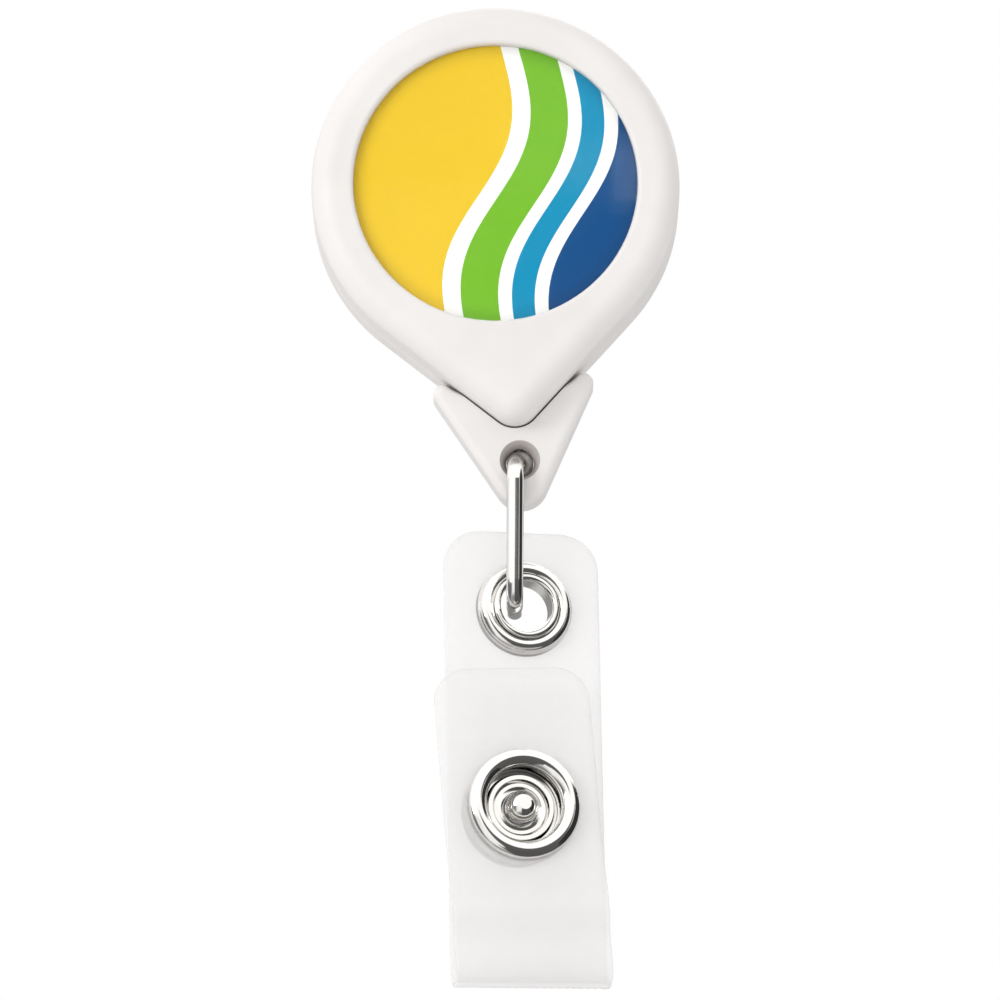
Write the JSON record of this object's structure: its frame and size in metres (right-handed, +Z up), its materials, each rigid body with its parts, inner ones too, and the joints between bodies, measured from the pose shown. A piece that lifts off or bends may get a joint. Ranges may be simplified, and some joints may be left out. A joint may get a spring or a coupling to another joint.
{
  "type": "retractable badge reel",
  "caption": "Teardrop retractable badge reel with a round printed window, V-shaped cord end, wire link, frosted snap strap and a swivel spring clip behind.",
  "frame": {"origin": "on the spindle axis, at the case's flat rear face", "axes": "+Z up along the case from the pointed tip to the round top, +X to the right seen from the front, the printed window faces -Y and the clip lies at +Y"},
  "size_m": [0.032, 0.0197, 0.087],
  "materials": {
    "case_plastic": "fine moulded texture, off-white",
    "yoke_plastic": "smooth moulded, off-white",
    "inner_plastic": "plain moulded, grey",
    "print": "printed disc with a plain wave pattern",
    "dome": "clear domed resin",
    "vinyl": "frosted clear flexible vinyl",
    "nickel": "bright nickel plate",
    "spring_steel": "tempered strip and wire",
    "cord": "braided nylon, white",
    "guide_plastic": "acetal bush"
  },
  "bodies": {
    "case": {"front_case": "case_plastic", "rear_case": "case_plastic", "label_disc": "print", "label_dome": "dome", "cord_guide": "guide_plastic"},
    "spool": {"spool": "inner_plastic", "power_spring": "spring_steel", "spring_cover": "inner_plastic", "cord_coil": "cord"},
    "yoke": {"cord_yoke": "yoke_plastic", "cord_lead": "cord"},
    "link": {"wire_link": "nickel"},
    "strap": {"strap_back": "vinyl", "grommet_eyelet": "nickel", "grommet_washer": "nickel", "snap_stud": "nickel", "snap_stud_rivet": "nickel"},
    "flap": {"strap_flap": "vinyl", "snap_socket": "nickel", "snap_spring": "spring_steel", "snap_ring": "nickel"},
    "clip": {"clip_base": "nickel", "clip_pin": "nickel", "clip_spring": "spring_steel", "swivel_rivet": "nickel", "swivel_washer": "nickel"},
    "jaw": {"clip_lever": "nickel"}
  },
  "joints": [
    {"name": "cord_pull", "type": "slide", "parent": "case", "child": "yoke", "axis": [0, 0, -1], "range_m": [0, 0.76], "stiffness_N_per_m": 1, "springref_m": -0.6, "deforming": ["cord_lead"]},
    {"name": "spool_spin", "type": "hinge", "parent": "case", "child": "spool", "pos_m": [0, 0, 0], "axis": [0, 1, 0], "range_deg": [0, 4150], "deforming": ["power_spring", "cord_coil"]},
    {"name": "link_swing", "type": "hinge", "parent": "yoke", "child": "link", "pos_m": [-0.00038, -0.0038, -0.02412], "axis": [0, 1, 0], "range_deg": [-65, 54]},
    {"name": "strap_rock", "type": "hinge", "parent": "link", "child": "strap", "pos_m": [-0.00157, -0.0038, -0.03672], "axis": [0.9698, 0.2284, -0.0859], "range_deg": [-10, 20]},
    {"name": "flap_open", "type": "hinge", "parent": "strap", "child": "flap", "pos_m": [-0.00311, -0.00813, -0.07026], "axis": [0.9698, 0.2284, -0.0859], "range_deg": [0, 120], "deforming": ["snap_spring"]},
    {"name": "clip_swivel", "type": "hinge", "parent": "case", "child": "clip", "pos_m": [0, 0, 0], "axis": [0, 1, 0], "continuous": true},
    {"name": "clip_jaw", "type": "hinge", "parent": "clip", "child": "jaw", "pos_m": [0, 0.0036, 0.004], "axis": [1, 0, 0], "range_deg": [0, 25], "stiffness_Nm_per_rad": 0.05, "springref_deg": -40.11, "deforming": ["clip_spring"]}
  ],
  "couplings": [
    {"joint": "spool_spin", "follows": "cord_pull", "rad_per_m": 95}
  ]
}
